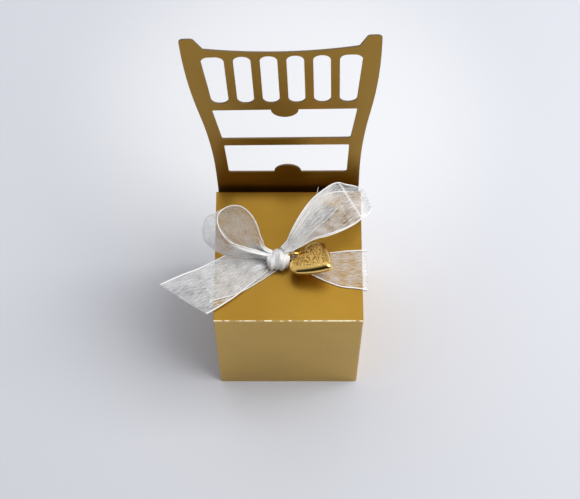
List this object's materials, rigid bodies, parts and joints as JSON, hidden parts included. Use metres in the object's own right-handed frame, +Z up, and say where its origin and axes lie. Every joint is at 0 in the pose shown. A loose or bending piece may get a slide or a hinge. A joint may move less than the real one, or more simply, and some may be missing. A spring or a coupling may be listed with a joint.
{
  "type": "favor box",
  "caption": "Small gold card favor box shaped like a ballroom chair: the seat is a creased lid tied with a white ribbon bow and heart charm, and the rear wall rises as the chair back.",
  "frame": {"origin": "centre of the carton's footprint, on the surface it stands on", "axes": "+Z up, +X to the chair's right as seen from the front, +Y towards the chair back; the front wall faces -Y"},
  "size_m": [0.0551, 0.0372, 0.1122],
  "materials": {
    "foil_card": "satin",
    "organza_ribbon": "satin",
    "gilt_wire": "polished",
    "gilt_charm": "polished"
  },
  "bodies": {
    "carton": {"front_wall": "foil_card", "left_wall": "foil_card", "right_wall": "foil_card", "chair_back": "foil_card", "glue_flap": "foil_card", "bottom_rear_flap": "foil_card", "bottom_front_flap": "foil_card", "bottom_left_flap": "foil_card", "bottom_right_flap": "foil_card"},
    "lid": {"lid_panel": "foil_card", "lid_strap": "organza_ribbon", "bow_knot": "organza_ribbon", "bow_left_loop": "organza_ribbon", "bow_right_loop": "organza_ribbon", "bow_left_tail": "organza_ribbon", "bow_right_tail": "organza_ribbon", "jump_ring": "gilt_wire"},
    "tuck_flap": {"lid_tuck_flap": "foil_card"},
    "left_dust": {"left_dust_flap": "foil_card"},
    "right_dust": {"right_dust_flap": "foil_card"},
    "charm": {"heart_charm": "gilt_charm"}
  },
  "joints": [
    {"name": "lid_crease", "type": "hinge", "parent": "carton", "child": "lid", "pos_m": [0, -0.0186, 0.042], "axis": [1, 0, 0], "range_deg": [-5, 115]},
    {"name": "tuck_flap_crease", "type": "hinge", "parent": "lid", "child": "tuck_flap", "pos_m": [0, 0.0167, 0.04469], "axis": [-1, 0, 0], "range_deg": [0, 60]},
    {"name": "left_dust_crease", "type": "hinge", "parent": "carton", "child": "left_dust", "pos_m": [-0.0186, 0, 0.0409], "axis": [0, 1, 0], "range_deg": [0, 80]},
    {"name": "right_dust_crease", "type": "hinge", "parent": "carton", "child": "right_dust", "pos_m": [0.0186, 0, 0.0409], "axis": [0, -1, 0], "range_deg": [0, 80]},
    {"name": "charm_swing", "type": "hinge", "parent": "lid", "child": "charm", "pos_m": [0.00328, -0.00197, 0.04617], "axis": [-0.8172, -0.561, -0.1323], "range_deg": [-30, 0]}
  ]
}
